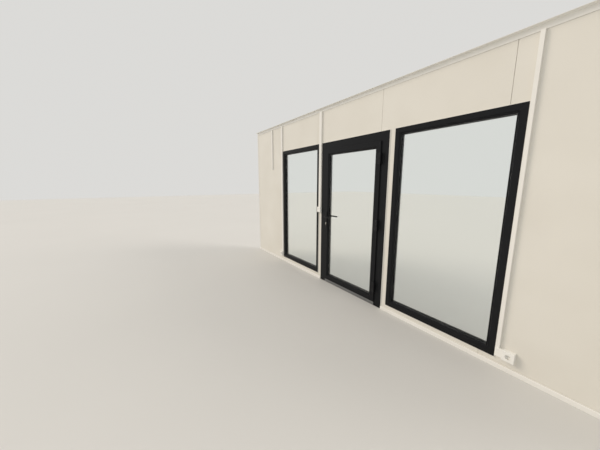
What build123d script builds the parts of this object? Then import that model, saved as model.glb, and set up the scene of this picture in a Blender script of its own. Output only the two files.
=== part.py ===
from build123d import *

import os
from math import radians, tan

os.makedirs("parts", exist_ok=True)

# Glazed front wall of a garden studio: sandwich panels in folded steel channels, two fixed
# windows and, between them, a glazed door that opens into the room. Sizes are in millimetres.
# X runs along the wall, -Y is the room side, +Y the garden side, and Z = 0 is the floor.

# Wall: each panel joint is placed from an edge of the opening beside it, and that sets them
# 1150 apart, the width of one panel
wall_length = 5580
wall_height = 2540
panel_thick = 100
joint_before_window = 122
joint_in_left_window = 51
joint_in_door = 122
joint_in_right_window = 116
joint_slot = 3
joint_depth = 7
joint_bevel = 1
tongue_depth = 14
tongue_root = 40
tongue_tip = 28
tongue_clear = 0.5

# Folded steel channels round the panels
channel_thick = 2
channel_leg = 30
channel_clear = 0.5

# Openings: the door, its middle measured from the wall's left end, and one window each side of it
door_from_end = 2810
door_width = 1156
window_width = 1079
pier_width = 65
opening_top = 2063
window_bottom = 81
fitting_gap = 0.5

# Frame sections: depth through the wall, and widths counted in from the frame's outer edge
frame_depth = 70
frame_proud = 8
window_body = 48
glazing_lip = 20
window_lip_thick = 15
arris = 1.5
door_body = 107
stop_lip = 14
stop_thick = 16

# Door leaf: its flange laps over the room side of the frame and of the threshold
leaf_body = 45
leaf_lip_thick = 15
flange_thick = 11
leaf_side_gap = 6
leaf_face_gap = 3
leaf_overlap = 6

# Double glazing
pane_thick = 4
pane_gap = 16
gasket_thick = 3
gasket_width = 7
gasket_inset = 1
pane_clear = 6
spacer_inset = 3
bead_front = 3
bead_step = 3
bead_slope = 9
bead_flat = 8
bead_fall = 1

# Threshold
threshold_thick = 54
threshold_fall = 10
threshold_nose = 4
nose_height = 16
tread_groove = 2
tread_depth = 1.5
tread_pitch = 8
tread_count = 4

# Hinges
hinge_count = 3
hinge_height = 120
hinge_plate = 4
hinge_plate_width = 48
hinge_frame_width = 34
knuckle_radius = 8
pin_radius = 4
pin_clear = 0.05
knuckle_gap = 1
hinge_arm = 6
hinge_arm_clear = 2
pin_head = 3
hinge_end_margin = 180

# Lock and lever handles
backset = 25
lever_height = 1010
cylinder_drop = 92
plate_width = 28
plate_height = 236
plate_thick = 10
plate_bevel = 2
lever_length = 112
lever_reach = 40
grip_thick = 10
grip_height = 19
grip_bevel = 2.5
lever_bend = 14
neck_radius = 9
neck_length = 20
spindle_size = 8
spindle_clear = 0.2
spindle_reach = 15
neck_seat = 6
neck_clear = 0.1
spindle_hole = 22
cylinder_radius = 8.5
cylinder_web = 10
cylinder_length = 33
cylinder_clear = 0.2
cylinder_proud = 2
forend_width = 20
forend_height = 240
forend_thick = 3
latch_size = (12, 30)
latch_drawn = 2
strike_thick = 2
strike_height = 200

# Trims inside: cornice, skirting and the cable trunking with its boxes
cornice_leg = 40
cornice_thick = 1.5
skirting_height = 38
skirting_thick = 12
trunk_depth = 20
trunk_lid = 3
trunk_seam = 1.5
trunk_seam_depth = 1
trunk_side_width = 35
trunk_pier_width = 50
trunk_right_width = 25
trunk_window_gap = 5
drop_width = 25
drop_from_end = 687
drop_foot = 1755
box_round = 4
box_bevel = 2
switch_width = 80
switch_height = 80
switch_depth = 28
switch_middle = 1100
rocker_size = 50
rocker_recess = 3
rocker_rise = 4
socket_size = 82
socket_depth = 40
socket_middle = 143
socket_radius = 19.5
socket_recess = 17
socket_pin_radius = 2.6
socket_pin_pitch = 19
socket_pin_depth = 12
junction_width = 48
junction_height = 70
junction_depth = 30

# Weathering outside
flashing_thick = 1.2
flashing_flange = 30
sill_thick = 1.5
sill_reach = 42
sill_slope = 4
sill_nose = 22
sill_return = 6
sill_turn_up = 14

# Planes and edges that several pieces share
room_face = -panel_thick / 2
garden_face = panel_thick / 2
channel_width = panel_thick + 2 * channel_clear + 2 * channel_thick
channel_face = channel_width / 2
frame_inner = room_face - frame_proud
frame_outer = frame_inner + frame_depth
stop_face = frame_outer - stop_thick
flange_back = frame_inner - leaf_face_gap
leaf_inner = flange_back - flange_thick
leaf_outer = stop_face - leaf_face_gap
leaf_depth = leaf_outer - leaf_inner
panel_foot = channel_thick
panel_head = wall_height - channel_thick
wall_left = -wall_length / 2
door_middle = wall_left + door_from_end
door_left = door_middle - door_width / 2
door_right = door_middle + door_width / 2
left_window_right = door_left - pier_width
left_window_left = left_window_right - window_width
right_window_left = door_right + pier_width
right_window_right = right_window_left + window_width
window_middles = (left_window_right - window_width / 2, right_window_left + window_width / 2)
joints = (left_window_left - joint_before_window, left_window_right - joint_in_left_window,
          door_right - joint_in_door, right_window_right - joint_in_right_window)
window_height = opening_top - window_bottom
leaf_edge = door_body + leaf_side_gap
leaf_flange = leaf_side_gap + leaf_overlap
threshold_top = panel_foot + threshold_thick
leaf_foot = threshold_top + leaf_side_gap
leaf_width = door_width - 2 * leaf_edge
leaf_height = opening_top - leaf_edge - leaf_foot
leaf_left = door_middle - leaf_width / 2
leaf_right = door_middle + leaf_width / 2


def finish(piece, name):
    """Names a finished piece and writes it to its own file."""
    piece.part.label = name
    export_step(piece.part, f"parts/{name}.step")


# Channels: one along the floor, one along the ceiling and one up each end


def channel_section(upward):
    """Draws a channel's U on the current sketch, its web on the line y = 0."""
    side = Align.MIN if upward else Align.MAX
    web = channel_thick if upward else -channel_thick
    Rectangle(channel_width, channel_leg, align=(Align.CENTER, side))
    with Locations((0, web)):
        inside = channel_width - 2 * channel_thick
        Rectangle(inside, channel_leg, align=(Align.CENTER, side), mode=Mode.SUBTRACT)


with BuildPart() as base_channel:
    with BuildSketch(Plane.YZ.offset(wall_left)):
        channel_section(upward=True)
    extrude(amount=wall_length)
    notch_width = door_width + 2 * (flashing_flange + 2 * fitting_gap)
    with Locations((door_middle, 0, channel_thick)):
        Box(door_width + 2 * fitting_gap, channel_width / 2, channel_leg,
            align=(Align.CENTER, Align.MAX, Align.MIN), mode=Mode.SUBTRACT)
        Box(notch_width, channel_width / 2, channel_leg,
            align=(Align.CENTER, Align.MIN, Align.MIN), mode=Mode.SUBTRACT)
finish(base_channel, "base_channel")

with BuildPart() as top_channel:
    with BuildSketch(Plane(origin=(wall_left, 0, wall_height), x_dir=(0, 1, 0), z_dir=(1, 0, 0))):
        channel_section(upward=False)
    extrude(amount=wall_length)
finish(top_channel, "top_channel")

with BuildPart() as end_channels:
    end_foot = channel_leg + fitting_gap
    end_height = wall_height - 2 * end_foot
    for side in (-1, 1):
        corner = Plane(origin=(side * wall_length / 2, 0, end_foot), x_dir=(0, side, 0), z_dir=(0, 0, 1))
        with BuildSketch(corner):
            channel_section(upward=True)
        extrude(amount=end_height)
finish(end_channels, "end_channels")


# Sandwich panels: tongue on the right edge, groove on the left, an open slot at each joint's face


def panel(x_from, x_to, z_from, z_to, groove=False, tongue=False, window=None):
    """Makes one panel between two edges, cut out round a window if it has one."""
    with BuildPart() as piece:
        with BuildSketch(Plane.XY.offset(z_from)):
            with Locations((x_from, 0)):
                Rectangle(x_to - x_from, panel_thick, align=(Align.MIN, Align.CENTER))
            if tongue:
                chamfer(vertices().group_by(Axis.X)[-1], length=joint_bevel)
            if groove:
                with Locations((x_from, room_face), (x_from, garden_face)):
                    Rectangle(2 * joint_slot, 2 * joint_depth, mode=Mode.SUBTRACT)
            if tongue:
                Polygon(
                    (x_to, -tongue_root / 2),
                    (x_to + tongue_depth, -tongue_tip / 2),
                    (x_to + tongue_depth, tongue_tip / 2),
                    (x_to, tongue_root / 2),
                    align=None,
                )
            if groove:
                deep = tongue_depth + tongue_clear
                Polygon(
                    (x_from, -tongue_root / 2 - tongue_clear),
                    (x_from + deep, -tongue_tip / 2 - tongue_clear),
                    (x_from + deep, tongue_tip / 2 + tongue_clear),
                    (x_from, tongue_root / 2 + tongue_clear),
                    align=None,
                    mode=Mode.SUBTRACT,
                )
        extrude(amount=z_to - z_from)
        if window is not None:
            with Locations((window, 0, window_bottom - fitting_gap)):
                Box(window_width + 2 * fitting_gap, panel_thick * 2, window_height + 2 * fitting_gap,
                    align=(Align.CENTER, Align.CENTER, Align.MIN), mode=Mode.SUBTRACT)
    return piece


wall_start = wall_left + channel_thick
wall_end = wall_left + wall_length - channel_thick
over_openings = opening_top + fitting_gap
under_windows = window_bottom - fitting_gap
door_jamb_left = door_left - fitting_gap
door_jamb_right = door_right + fitting_gap
sill_start = right_window_left - fitting_gap

end_panel_left = panel(wall_start, joints[0], panel_foot, panel_head, tongue=True)
finish(end_panel_left, "end_panel_left")

window_panel_left = panel(joints[0], joints[1], panel_foot, panel_head, groove=True, tongue=True,
                          window=window_middles[0])
finish(window_panel_left, "window_panel_left")

door_pier_left = panel(joints[1], door_jamb_left, panel_foot, over_openings, groove=True,
                       window=window_middles[0])
finish(door_pier_left, "door_pier_left")

door_lintel = panel(joints[1], joints[2], over_openings, panel_head, groove=True, tongue=True)
finish(door_lintel, "door_lintel")

door_pier_right = panel(door_jamb_right, sill_start, panel_foot, over_openings)
finish(door_pier_right, "door_pier_right")

window_lintel_right = panel(joints[2], joints[3], over_openings, panel_head, groove=True, tongue=True)
finish(window_lintel_right, "window_lintel_right")

window_sill_right = panel(sill_start, joints[3], panel_foot, under_windows, tongue=True)
finish(window_sill_right, "window_sill_right")

end_panel_right = panel(joints[3], wall_end, panel_foot, panel_head, groove=True,
                        window=window_middles[1])
finish(end_panel_right, "end_panel_right")


# Frames: one section swept round the opening, which mitres it at the corners


def sweep_loop(section, middle, bottom, width, height):
    """Sweeps a section, drawn as (inwards from the outer edge, y), round a closed rectangle."""
    left = middle - width / 2
    right = middle + width / 2
    with BuildLine() as path:
        Polyline((middle, 0, bottom), (left, 0, bottom), (left, 0, bottom + height),
                 (right, 0, bottom + height), (right, 0, bottom), close=True)
    with BuildSketch(Plane(origin=(middle, 0, bottom), x_dir=(0, 0, 1), z_dir=(-1, 0, 0))) as bar:
        Polygon(*section, align=None)
    sweep(bar.sketch, path=path.wires()[0], transition=Transition.RIGHT)


def sweep_arch(section, middle, bottom, width, height):
    """Sweeps a section, drawn the same way, up one side, along the top and down the other side."""
    left = middle - width / 2
    right = middle + width / 2
    with BuildLine() as path:
        Polyline((left, 0, bottom), (left, 0, bottom + height),
                 (right, 0, bottom + height), (right, 0, bottom))
    with BuildSketch(Plane(origin=(left, 0, bottom), x_dir=(1, 0, 0), z_dir=(0, 0, 1))) as bar:
        Polygon(*section, align=None)
    sweep(bar.sketch, path=path.wires()[0], transition=Transition.RIGHT)


def glazing_levels(lip_face):
    """Gives the y of the outer gasket, the glass and the bead's back, from the glazing lip inwards."""
    glass_outer = lip_face - gasket_thick
    glass_inner = glass_outer - 2 * pane_thick - pane_gap
    return glass_outer, glass_inner, glass_inner - gasket_thick


window_lip_face = frame_outer - window_lip_thick

window_section = [
    (0, frame_inner + arris),
    (arris, frame_inner),
    (window_body - arris, frame_inner),
    (window_body, frame_inner + arris),
    (window_body, window_lip_face),
    (window_body + glazing_lip, window_lip_face),
    (window_body + glazing_lip, frame_outer - arris),
    (window_body + glazing_lip - arris, frame_outer),
    (0, frame_outer),
]

for middle, name in zip(window_middles, ("window_frame_left", "window_frame_right")):
    with BuildPart() as window_frame:
        sweep_loop(window_section, middle, window_bottom, window_width, window_height)
    finish(window_frame, name)

door_section = [
    (0, frame_inner + arris),
    (arris, frame_inner),
    (door_body - arris, frame_inner),
    (door_body, frame_inner + arris),
    (door_body, stop_face),
    (door_body + stop_lip, stop_face),
    (door_body + stop_lip, frame_outer - arris),
    (door_body + stop_lip - arris, frame_outer),
    (0, frame_outer),
]

with BuildPart() as door_frame:
    sweep_arch(door_section, door_middle, panel_foot, door_width, opening_top - panel_foot)
finish(door_frame, "door_frame")

leaf_section = [
    (-leaf_flange, leaf_inner + arris),
    (arris - leaf_flange, leaf_inner),
    (leaf_body - arris, leaf_inner),
    (leaf_body, leaf_inner + arris),
    (leaf_body, leaf_outer - leaf_lip_thick),
    (leaf_body + glazing_lip, leaf_outer - leaf_lip_thick),
    (leaf_body + glazing_lip, leaf_outer - arris),
    (leaf_body + glazing_lip - arris, leaf_outer),
    (0, leaf_outer),
    (0, flange_back),
    (-leaf_flange, flange_back),
]

lever_x = leaf_left + backset
cylinder_z = lever_height - cylinder_drop
lock_middle = lever_height - cylinder_drop / 2
forend_y = (flange_back + leaf_outer) / 2


def cylinder_outline(clear):
    """Draws the lock cylinder's key-shaped section, round at the top with a narrow web below."""
    web_reach = cylinder_length - cylinder_radius - cylinder_web / 2
    Circle(cylinder_radius + clear)
    with Locations((0, -web_reach)):
        Circle(cylinder_web / 2 + clear)
        Rectangle(cylinder_web + 2 * clear, web_reach, align=(Align.CENTER, Align.MIN))


with BuildPart() as leaf_frame:
    sweep_loop(leaf_section, door_middle, leaf_foot, leaf_width, leaf_height)
    with Locations((leaf_left, forend_y, lock_middle)):
        Box(2 * forend_thick, forend_width, forend_height, mode=Mode.SUBTRACT)
    with BuildSketch(Plane.XZ.offset(-leaf_outer)):
        with Locations((lever_x, lever_height)):
            Circle(spindle_hole / 2)
        with Locations((lever_x, cylinder_z)):
            cylinder_outline(cylinder_clear)
    extrude(amount=leaf_depth, mode=Mode.SUBTRACT)
finish(leaf_frame, "leaf_frame")


# Double glazing: two panes on a spacer, held between a gasket on the lip and a gasket under the bead


def glass_unit(middle, bottom, width, height, rebate, lip_face):
    """Adds the two panes that fill a frame whose rebate starts at the given width."""
    outer, inner, _ = glazing_levels(lip_face)
    inset = rebate + pane_clear
    for y in (inner, outer - pane_thick):
        with Locations((middle, y, bottom + inset)):
            Box(width - 2 * inset, pane_thick, height - 2 * inset,
                align=(Align.CENTER, Align.MIN, Align.MIN))


def spacer_section(rebate, lip_face):
    """Gives the section of the bar that keeps the panes apart, just out of sight of the opening."""
    outer, inner, _ = glazing_levels(lip_face)
    start = rebate + pane_clear + spacer_inset
    end = rebate + glazing_lip - spacer_inset
    return [(start, inner + pane_thick), (end, inner + pane_thick),
            (end, outer - pane_thick), (start, outer - pane_thick)]


def gasket_sections(rebate, lip_face):
    """Gives the sections of the outer and the inner gasket, both at the edge of the opening."""
    outer, inner, bead_back = glazing_levels(lip_face)
    edge = rebate + glazing_lip - gasket_inset
    return [[(edge - gasket_width, near), (edge, near), (edge, far), (edge - gasket_width, far)]
            for near, far in ((outer, lip_face), (bead_back, inner))]


def bead_section(rebate, front, lip_face):
    """Gives the section of a glazing bead: a short flat, a steep slope, and a flat down to the glass."""
    bead_back = glazing_levels(lip_face)[2]
    end = rebate + glazing_lip
    return [(rebate, front), (rebate + bead_step, front), (end - bead_flat, front + bead_slope),
            (end, front + bead_slope + bead_fall), (end, bead_back), (rebate, bead_back)]


window_glazing = [(middle, window_bottom, window_width, window_height) for middle in window_middles]
leaf_glazing = (door_middle, leaf_foot, leaf_width, leaf_height)
leaf_glazing_face = leaf_outer - leaf_lip_thick

with BuildPart() as window_glass:
    for place in window_glazing:
        glass_unit(*place, window_body, window_lip_face)
finish(window_glass, "window_glass")

with BuildPart() as window_spacers:
    for place in window_glazing:
        sweep_loop(spacer_section(window_body, window_lip_face), *place)
finish(window_spacers, "window_spacers")

with BuildPart() as window_gaskets:
    for place in window_glazing:
        for section in gasket_sections(window_body, window_lip_face):
            sweep_loop(section, *place)
finish(window_gaskets, "window_gaskets")

with BuildPart() as window_beads:
    for place in window_glazing:
        sweep_loop(bead_section(window_body, frame_inner + bead_front, window_lip_face), *place)
finish(window_beads, "window_beads")

with BuildPart() as leaf_glass:
    glass_unit(*leaf_glazing, leaf_body, leaf_glazing_face)
finish(leaf_glass, "leaf_glass")

with BuildPart() as leaf_spacer:
    sweep_loop(spacer_section(leaf_body, leaf_glazing_face), *leaf_glazing)
finish(leaf_spacer, "leaf_spacer")

with BuildPart() as leaf_gaskets:
    for section in gasket_sections(leaf_body, leaf_glazing_face):
        sweep_loop(section, *leaf_glazing)
finish(leaf_gaskets, "leaf_gaskets")

with BuildPart() as leaf_beads:
    sweep_loop(bead_section(leaf_body, leaf_inner + bead_front, leaf_glazing_face), *leaf_glazing)
finish(leaf_beads, "leaf_beads")


# Threshold: one extrusion across the doorway, coped round the feet of the door frame. The leaf's
# flange laps over its room side, its stop stands behind the leaf, and a grooved tread falls outwards.

with BuildPart() as threshold:
    stop_top = threshold_top + stop_lip
    nose = channel_face + threshold_nose
    tread_run = nose - frame_outer
    nose_top = threshold_top - threshold_fall
    with BuildSketch(Plane.YZ.offset(door_left)):
        Polygon(
            (frame_inner, panel_foot),
            (channel_face, panel_foot),
            (channel_face, nose_top - nose_height),
            (nose, nose_top - nose_height),
            (nose, nose_top),
            (frame_outer, threshold_top),
            (frame_outer, stop_top - arris),
            (frame_outer - arris, stop_top),
            (stop_face, stop_top),
            (stop_face, threshold_top),
            (frame_inner + arris, threshold_top),
            (frame_inner, threshold_top - arris),
            align=None,
        )
        for n in range(tread_count):
            run = tread_run - tread_pitch * (n + 1)
            with Locations((frame_outer + run, threshold_top - threshold_fall * run / tread_run)):
                Rectangle(tread_groove, 2 * tread_depth, mode=Mode.SUBTRACT)
    extrude(amount=door_width)
    for side in (-1, 1):
        jamb = door_middle + side * (door_width / 2)
        inward = Align.MIN if side < 0 else Align.MAX
        with Locations((jamb, frame_inner, 0)):
            Box(door_body + fitting_gap, frame_depth + fitting_gap, opening_top,
                align=(inward, Align.MIN, Align.MIN), mode=Mode.SUBTRACT)
            Box(flashing_thick + fitting_gap, panel_thick * 2, opening_top,
                align=(inward, Align.MIN, Align.MIN), mode=Mode.SUBTRACT)
        with Locations((jamb, stop_face - fitting_gap, 0)):
            Box(door_body + stop_lip + fitting_gap, stop_thick + 2 * fitting_gap, opening_top,
                align=(inward, Align.MIN, Align.MIN), mode=Mode.SUBTRACT)
finish(threshold, "threshold")


# Hinges: the pin stands over the edge of the leaf's flange, on the room side of the leaf

pin_x = door_right - door_body + leaf_overlap
pin_y = leaf_inner - hinge_plate - knuckle_radius
hinge_span = leaf_height - 2 * hinge_end_margin
hinge_middles = [leaf_foot + hinge_end_margin + hinge_span * n / (hinge_count - 1)
                 for n in range(hinge_count)]
knuckle_height = (hinge_height - 2 * knuckle_gap) / 3
arm_x = pin_x + knuckle_radius + hinge_arm_clear

with BuildPart() as hinge_frame_leaves:
    for middle in hinge_middles:
        foot = middle - hinge_height / 2
        with BuildSketch(Plane.XY.offset(foot)):
            with Locations((arm_x, frame_inner)):
                Rectangle(hinge_frame_width, hinge_plate, align=(Align.MIN, Align.MAX))
                Rectangle(hinge_arm, frame_inner - pin_y + knuckle_radius, align=(Align.MIN, Align.MAX))
        extrude(amount=hinge_height)
        for level in (foot, foot + 2 * (knuckle_height + knuckle_gap)):
            with BuildSketch(Plane.XY.offset(level)):
                with Locations((pin_x, pin_y)):
                    Circle(knuckle_radius)
                    Rectangle(arm_x - pin_x + hinge_arm, 2 * knuckle_radius, align=(Align.MIN, Align.CENTER))
            extrude(amount=knuckle_height)
        with BuildSketch(Plane.XY.offset(foot)):
            with Locations((pin_x, pin_y)):
                Circle(pin_radius + pin_clear)
        extrude(amount=hinge_height, mode=Mode.SUBTRACT)
finish(hinge_frame_leaves, "hinge_frame_leaves")

with BuildPart() as hinge_pins:
    for middle in hinge_middles:
        foot = middle - hinge_height / 2
        with BuildSketch(Plane.XY.offset(foot)):
            with Locations((pin_x, pin_y)):
                Circle(pin_radius)
        extrude(amount=hinge_height)
        for level in (foot - pin_head, foot + hinge_height):
            with BuildSketch(Plane.XY.offset(level)):
                with Locations((pin_x, pin_y)):
                    Circle(knuckle_radius)
            extrude(amount=pin_head)
finish(hinge_pins, "hinge_pins")

with BuildPart() as hinge_door_leaves:
    for middle in hinge_middles:
        with BuildSketch(Plane.XY.offset(middle - hinge_height / 2)):
            with Locations((pin_x, leaf_inner)):
                Rectangle(hinge_plate_width, hinge_plate, align=Align.MAX)
        extrude(amount=hinge_height)
        with BuildSketch(Plane.XY.offset(middle - knuckle_height / 2)):
            with Locations((pin_x, pin_y)):
                Circle(knuckle_radius)
                Rectangle(knuckle_radius, knuckle_radius, align=(Align.MAX, Align.MIN))
                Circle(pin_radius + pin_clear, mode=Mode.SUBTRACT)
        extrude(amount=knuckle_height)
finish(hinge_door_leaves, "hinge_door_leaves")


# Lock: faceplate with its drawn-back bolts, strike plate, cylinder and the two handle plates

with BuildPart() as lock_faceplate:
    with Locations((leaf_left, forend_y, lock_middle)):
        Box(forend_thick, forend_width, forend_height, align=(Align.MIN, Align.CENTER, Align.CENTER))
    for level in (lever_height, cylinder_z):
        with Locations((leaf_left, forend_y, level)):
            Box(latch_drawn, *latch_size, align=(Align.MAX, Align.CENTER, Align.CENTER))
finish(lock_faceplate, "lock_faceplate")

with BuildPart() as strike_plate:
    with Locations((door_left + door_body, forend_y, lock_middle)):
        Box(strike_thick, forend_width, strike_height, align=(Align.MIN, Align.CENTER, Align.CENTER))
    for level in (lever_height, cylinder_z):
        with Locations((door_left + door_body, forend_y, level)):
            Box(2 * strike_thick, *latch_size, align=(Align.MIN, Align.CENTER, Align.CENTER),
                mode=Mode.SUBTRACT)
finish(strike_plate, "strike_plate")

with BuildPart() as lock_cylinder:
    reach = plate_thick + cylinder_proud
    with BuildSketch(Plane.XZ.offset(-leaf_outer - reach)):
        with Locations((lever_x, cylinder_z)):
            cylinder_outline(0)
    extrude(amount=leaf_depth + 2 * reach)
finish(lock_cylinder, "lock_cylinder")

with BuildPart() as handle_plates:
    for face, outward in ((leaf_inner, -1), (leaf_outer, 1)):
        with BuildSketch(Plane(origin=(lever_x, face, 0), x_dir=(1, 0, 0), z_dir=(0, -1, 0))):
            with Locations((0, lock_middle)):
                SlotOverall(plate_height, plate_width, rotation=90)
            with Locations((0, lever_height)):
                Circle(neck_radius + neck_clear, mode=Mode.SUBTRACT)
        plate = extrude(amount=-outward * plate_thick)
        front = plate.faces().filter_by(Axis.Y).sort_by(Axis.Y, reverse=outward > 0)[0]
        chamfer(front.outer_wire().edges(), length=plate_bevel)
        with BuildSketch(Plane(origin=(lever_x, face, 0), x_dir=(1, 0, 0), z_dir=(0, -1, 0))):
            with Locations((0, cylinder_z)):
                cylinder_outline(cylinder_clear)
        extrude(amount=-outward * plate_thick, mode=Mode.SUBTRACT)
finish(handle_plates, "handle_plates")


def lever(face, outward, name):
    """Makes a lever: a round neck out of the plate, and a flat bar bent towards the hinges."""
    plate_front = face + outward * plate_thick
    turn = plate_front + outward * lever_reach
    with BuildPart() as piece:
        with BuildSketch(Plane.XY.offset(lever_height - grip_height / 2)) as bar:
            with BuildLine():
                FilletPolyline((lever_x, plate_front + outward * spindle_reach),
                               (lever_x, turn), (lever_x + lever_length, turn), radius=lever_bend)
            trace(line_width=grip_thick)
            fillet(bar.vertices().group_by(Axis.X)[-1], radius=grip_thick / 2 - arris)
        extrude(amount=grip_height)
        chamfer(piece.faces().filter_by(Axis.Z).edges(), length=grip_bevel)
        socket = (lever_x, plate_front - outward * neck_seat, lever_height)
        neck = Plane(origin=socket, z_dir=(0, outward, 0))
        with BuildSketch(neck):
            Circle(neck_radius)
        extrude(amount=neck_seat + neck_length)
        side = spindle_size + 2 * spindle_clear
        with BuildSketch(neck):
            Rectangle(side, side)
        extrude(amount=neck_seat + spindle_reach, mode=Mode.SUBTRACT)
    finish(piece, name)


lever(leaf_inner, -1, "lever_inside")
lever(leaf_outer, 1, "lever_outside")

with BuildPart() as spindle:
    spindle_end = plate_thick + spindle_reach - fitting_gap
    with Locations((lever_x, leaf_inner - spindle_end, lever_height)):
        Box(spindle_size, leaf_depth + 2 * spindle_end, spindle_size,
            align=(Align.CENTER, Align.MIN, Align.CENTER))
finish(spindle, "spindle")


# Trims inside the room: cornice angle, skirting and cable trunking down to its boxes

cornice_foot = wall_height - cornice_leg

with BuildPart() as cornice_trim:
    with BuildSketch(Plane.YZ.offset(wall_left)):
        with Locations((-channel_face, wall_height)):
            Rectangle(cornice_thick, cornice_leg, align=Align.MAX)
            Rectangle(cornice_leg, cornice_thick, align=Align.MAX)
    extrude(amount=wall_length)
finish(cornice_trim, "cornice_trim")

with BuildPart() as skirting:
    for x_from, x_to in ((wall_left, door_left), (door_right, wall_left + wall_length)):
        with BuildSketch(Plane.YZ.offset(x_from)):
            with Locations((-channel_face, 0)):
                Rectangle(skirting_thick, skirting_height, align=(Align.MAX, Align.MIN))
            outer_edge = vertices().sort_by(Axis.Y)[-2:].sort_by(Axis.X)[0]
            fillet(outer_edge, radius=skirting_thick / 2)
        extrude(amount=x_to - x_from)
finish(skirting, "skirting")

trunk_right_left = right_window_right + trunk_window_gap
trunk_right_x = trunk_right_left + trunk_right_width / 2
trunk_side_right = left_window_left - trunk_window_gap
trunk_side_x = trunk_side_right - trunk_side_width / 2
drop_x = wall_left + drop_from_end
pier_x = door_left - pier_width / 2
socket_top = socket_middle + socket_size / 2
junction_top = socket_middle + junction_height / 2

with BuildPart() as cable_trunking:
    runs = (
        (drop_x, drop_width, drop_foot),
        (trunk_side_x, trunk_side_width, socket_top),
        (pier_x, trunk_pier_width, switch_middle + switch_height / 2),
        (trunk_right_x, trunk_right_width, junction_top),
    )
    for x, width, foot in runs:
        with BuildSketch(Plane.XY.offset(foot)):
            with Locations((x, room_face)):
                Rectangle(width, trunk_depth, align=(Align.CENTER, Align.MAX))
            for edge in (x - width / 2, x + width / 2):
                with Locations((edge, room_face - trunk_depth + trunk_lid)):
                    Rectangle(2 * trunk_seam_depth, trunk_seam, mode=Mode.SUBTRACT)
        extrude(amount=cornice_foot - foot)
finish(cable_trunking, "cable_trunking")


def wall_box(x, z, width, height, depth, back=room_face):
    """Adds a surface box, its corners rounded and its front edges bevelled."""
    with BuildSketch(Plane(origin=(x, back, z), x_dir=(1, 0, 0), z_dir=(0, -1, 0))) as outline:
        RectangleRounded(width, height, box_round)
    box = extrude(outline.sketch, amount=depth)
    front = box.faces().filter_by(Axis.Y).sort_by(Axis.Y)[0]
    chamfer(front.edges(), length=box_bevel)


switch_front = frame_inner - switch_depth

with BuildPart() as switch_box:
    wall_box(pier_x, switch_middle, switch_width, switch_height, switch_depth, back=frame_inner)
    with Locations((pier_x, switch_front, switch_middle)):
        Box(rocker_size, 2 * rocker_recess, rocker_size, mode=Mode.SUBTRACT)
finish(switch_box, "switch_box")

with BuildPart() as switch_rocker:
    rocker = rocker_size - 2 * fitting_gap
    seat = switch_front + rocker_recess
    with BuildSketch(Plane.YZ.offset(pier_x - rocker / 2)):
        with Locations((seat, switch_middle)):
            Polygon((0, -rocker / 2), (0, rocker / 2), (-rocker_recess - rocker_rise, rocker / 2),
                    (-rocker_recess, 0), (-rocker_recess - rocker_rise / 2, -rocker / 2), align=None)
    extrude(amount=rocker)
finish(switch_rocker, "switch_rocker")

junction_x = trunk_right_left + junction_width / 2
socket_places = (trunk_side_right - socket_size / 2,
                 junction_x + junction_width / 2 + socket_size / 2 + fitting_gap)

with BuildPart() as socket_boxes:
    for x in socket_places:
        wall_box(x, socket_middle, socket_size, socket_size, socket_depth)
        with BuildSketch(Plane(origin=(x, room_face, socket_middle), x_dir=(1, 0, 0), z_dir=(0, -1, 0))):
            Circle(socket_radius)
        extrude(amount=socket_depth, mode=Mode.SUBTRACT)
finish(socket_boxes, "socket_boxes")

with BuildPart() as socket_inserts:
    for x in socket_places:
        with BuildSketch(Plane(origin=(x, room_face, socket_middle), x_dir=(1, 0, 0), z_dir=(0, -1, 0))):
            Circle(socket_radius)
        extrude(amount=socket_depth - socket_recess)
        bottom = Plane(origin=(x, room_face - socket_depth + socket_recess, socket_middle),
                       x_dir=(1, 0, 0), z_dir=(0, -1, 0))
        with BuildSketch(bottom):
            with GridLocations(socket_pin_pitch, 0, 2, 1):
                Circle(socket_pin_radius)
        extrude(amount=-socket_pin_depth, mode=Mode.SUBTRACT)
finish(socket_inserts, "socket_inserts")

with BuildPart() as junction_box:
    wall_box(junction_x, socket_middle, junction_width, junction_height, junction_depth)
finish(junction_box, "junction_box")


# Weathering outside: folded flashings round the reveals and a sloping sill under each window

flashing_section = [
    (0, garden_face),
    (flashing_flange, garden_face),
    (flashing_flange, frame_outer),
    (flashing_flange + flashing_thick, frame_outer),
    (flashing_flange + flashing_thick, garden_face + flashing_thick),
    (0, garden_face + flashing_thick),
]

with BuildPart() as flashings:
    reach = 2 * (flashing_flange + fitting_gap)
    for middle in window_middles:
        sweep_arch(flashing_section, middle, under_windows, window_width + reach,
                   window_height + fitting_gap + reach / 2)
    sweep_arch(flashing_section, door_middle, panel_foot, door_width + reach,
               opening_top - panel_foot + reach / 2)
finish(flashings, "flashings")

with BuildPart() as window_sills:
    sill_out = garden_face + sill_reach
    fall = tan(radians(sill_slope))
    at_wall = under_windows + fitting_gap
    at_frame = at_wall + fall * (garden_face - frame_outer)
    at_nose = at_wall - fall * sill_reach
    for middle in window_middles:
        sill_width = window_width - 2 * flashing_thick - 2 * fitting_gap
        with BuildSketch(Plane.YZ.offset(middle - sill_width / 2)):
            Polygon(
                (frame_outer, at_frame),
                (sill_out - sill_thick, at_nose),
                (sill_out - sill_thick, at_nose - sill_nose + sill_thick),
                (sill_out - sill_return, at_nose - sill_nose + sill_thick),
                (sill_out - sill_return, at_nose - sill_nose),
                (sill_out, at_nose - sill_nose),
                (sill_out, at_nose + sill_thick),
                (frame_outer + sill_thick, at_frame + sill_thick),
                (frame_outer + sill_thick, at_frame + sill_turn_up),
                (frame_outer, at_frame + sill_turn_up),
                align=None,
            )
        extrude(amount=sill_width)
finish(window_sills, "window_sills")
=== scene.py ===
import math

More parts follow.
